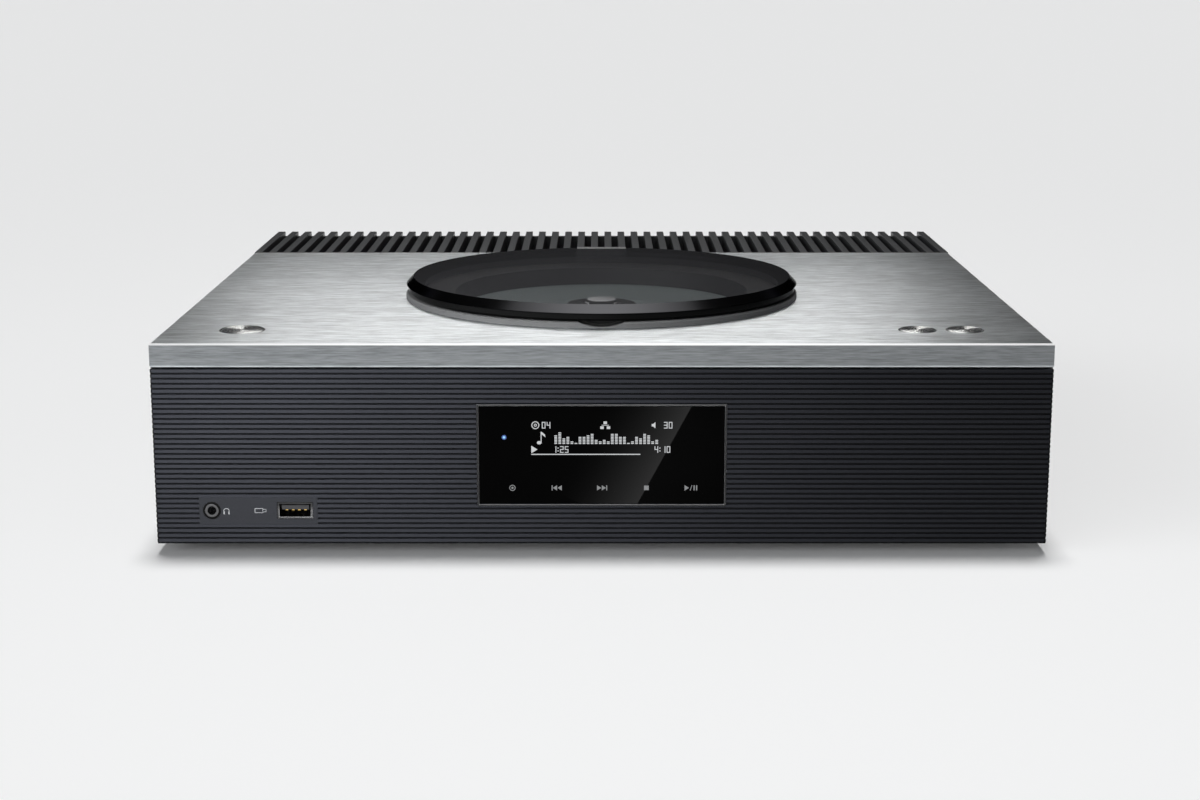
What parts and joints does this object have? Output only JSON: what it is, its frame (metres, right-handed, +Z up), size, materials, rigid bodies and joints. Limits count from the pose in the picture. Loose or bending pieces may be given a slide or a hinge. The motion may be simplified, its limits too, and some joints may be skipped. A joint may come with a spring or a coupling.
{
  "type": "all-in-one stereo system",
  "caption": "Low stereo console with a ribbed charcoal front, brushed metal top, round smoked lid over a disc well, display window and a rear heat sink.",
  "frame": {"origin": "on the table, under the middle of the console: centre of the bottom of its bounding box", "axes": "+X to the right seen from the front, +Y to the back, +Z up"},
  "size_m": [0.36, 0.341, 0.096],
  "materials": {
    "pan_steel": "matt black coated sheet steel",
    "foot_rubber": "matt black rubber",
    "ribbed_charcoal": "satin charcoal coating on fine horizontal ribs",
    "flat_charcoal": "satin charcoal coating",
    "rear_black": "fine textured black coating",
    "brushed_top": "brushed from side to side, satin anodised, bright cut edges",
    "sink_black": "black anodised extrusion",
    "screw_black": "black zinc",
    "frame_trim": "dark satin trim",
    "display_glass": "gloss black window with lit symbols",
    "plain_steel": "plain zinc plated",
    "circuit_board": "green solder mask",
    "power_circuit": "brown laminate",
    "light_pipe": "clear light pipe",
    "socket_black": "moulded black",
    "jack_metal": "dark plated",
    "socket_metal": "tin plated",
    "spun_metal": "spun in circles, satin",
    "smoked_lid": "polished smoked acrylic",
    "lid_black": "gloss black",
    "hinge_metal": "fine brushed",
    "seat_grey": "dark grey satin",
    "well_grey": "grey-green satin",
    "platter_black": "black with a rubber face",
    "hub_chrome": "polished",
    "sled_plastic": "glass filled black",
    "lens_glass": "coated lens",
    "gear_plastic": "natural acetal",
    "pinion_brass": "turned",
    "transformer_tape": "yellow tape on a dark core",
    "coil_copper": "enamelled copper wire",
    "collar_red": "moulded red"
  },
  "bodies": {
    "console": {"base_pan": "pan_steel", "feet": "foot_rubber", "front_panel": "ribbed_charcoal", "socket_plate": "flat_charcoal", "left_side_panel": "flat_charcoal", "right_side_panel": "flat_charcoal", "rear_panel": "rear_black", "top_plate": "brushed_top", "heat_sink": "sink_black", "panel_screws": "screw_black", "rear_screws": "screw_black", "display_frame": "frame_trim", "display_window": "display_glass", "display_module": "plain_steel", "touch_board": "circuit_board", "status_light": "light_pipe", "headphone_jack": "socket_black", "jack_ring": "jack_metal", "usb_shell": "socket_metal", "usb_tongue": "socket_black", "socket_board": "circuit_board", "button_boards": "circuit_board", "button_switches": "socket_black", "lid_pads": "foot_rubber", "hinge_pin": "hinge_metal", "hinge_bracket": "hinge_metal", "seat_ring": "seat_grey", "well_floor": "well_grey", "drive_chassis": "plain_steel", "chassis_grommets": "foot_rubber", "spindle_motor": "plain_steel", "guide_rails": "plain_steel", "sled_motor": "plain_steel", "main_board": "circuit_board", "processor_shield": "plain_steel", "power_board": "power_circuit", "power_transformer": "transformer_tape", "power_capacitors": "socket_black", "amplifier_board": "circuit_board", "output_coils": "coil_copper", "speaker_sockets": "pinion_brass", "positive_collars": "collar_red", "negative_collars": "socket_black", "network_socket": "socket_metal", "aux_socket": "socket_black", "antenna_socket": "socket_metal", "mains_inlet": "socket_black"},
    "lid": {"lid_window": "smoked_lid", "lid_ring": "lid_black", "hinge_arm": "hinge_metal"},
    "power_key": {"power_button": "spun_metal"},
    "volume_down_key": {"volume_down_button": "spun_metal"},
    "volume_up_key": {"volume_up_button": "spun_metal"},
    "spindle": {"spindle_shaft": "plain_steel", "turntable": "platter_black", "hub_cap": "hub_chrome"},
    "sled": {"pickup_sled": "sled_plastic", "objective_lens": "lens_glass"},
    "gear": {"drive_gear": "gear_plastic"},
    "pinion": {"motor_pinion": "pinion_brass"}
  },
  "joints": [
    {"name": "lid_hinge", "type": "hinge", "parent": "console", "child": "lid", "pos_m": [0, 0.044, 0.09], "axis": [-1, 0, 0], "range_deg": [0, 75]},
    {"name": "power_press", "type": "slide", "parent": "console", "child": "power_key", "axis": [0, 0, -1], "range_m": [0, 0.0008], "stiffness_N_per_m": 1500, "springref_m": -0.001},
    {"name": "volume_down_press", "type": "slide", "parent": "console", "child": "volume_down_key", "axis": [0, 0, -1], "range_m": [0, 0.0008], "stiffness_N_per_m": 1500, "springref_m": -0.001},
    {"name": "volume_up_press", "type": "slide", "parent": "console", "child": "volume_up_key", "axis": [0, 0, -1], "range_m": [0, 0.0008], "stiffness_N_per_m": 1500, "springref_m": -0.001},
    {"name": "spindle_spin", "type": "hinge", "parent": "console", "child": "spindle", "pos_m": [0, -0.0475, 0.08], "axis": [0, 0, 1], "continuous": true},
    {"name": "sled_slide", "type": "slide", "parent": "console", "child": "sled", "axis": [0, -1, 0], "range_m": [0, 0.033]},
    {"name": "gear_turn", "type": "hinge", "parent": "console", "child": "gear", "pos_m": [0.0223, -0.09, 0.07], "axis": [0, 0, 1], "range_deg": [-1, 396]},
    {"name": "pinion_turn", "type": "hinge", "parent": "console", "child": "pinion", "pos_m": [0.0338, -0.09, 0.07], "axis": [0, 0, 1], "range_deg": [-1422, 1]}
  ],
  "couplings": [
    {"joint": "gear_turn", "follows": "sled_slide", "rad_per_m": 208.33},
    {"joint": "pinion_turn", "follows": "sled_slide", "rad_per_m": -750}
  ]
}
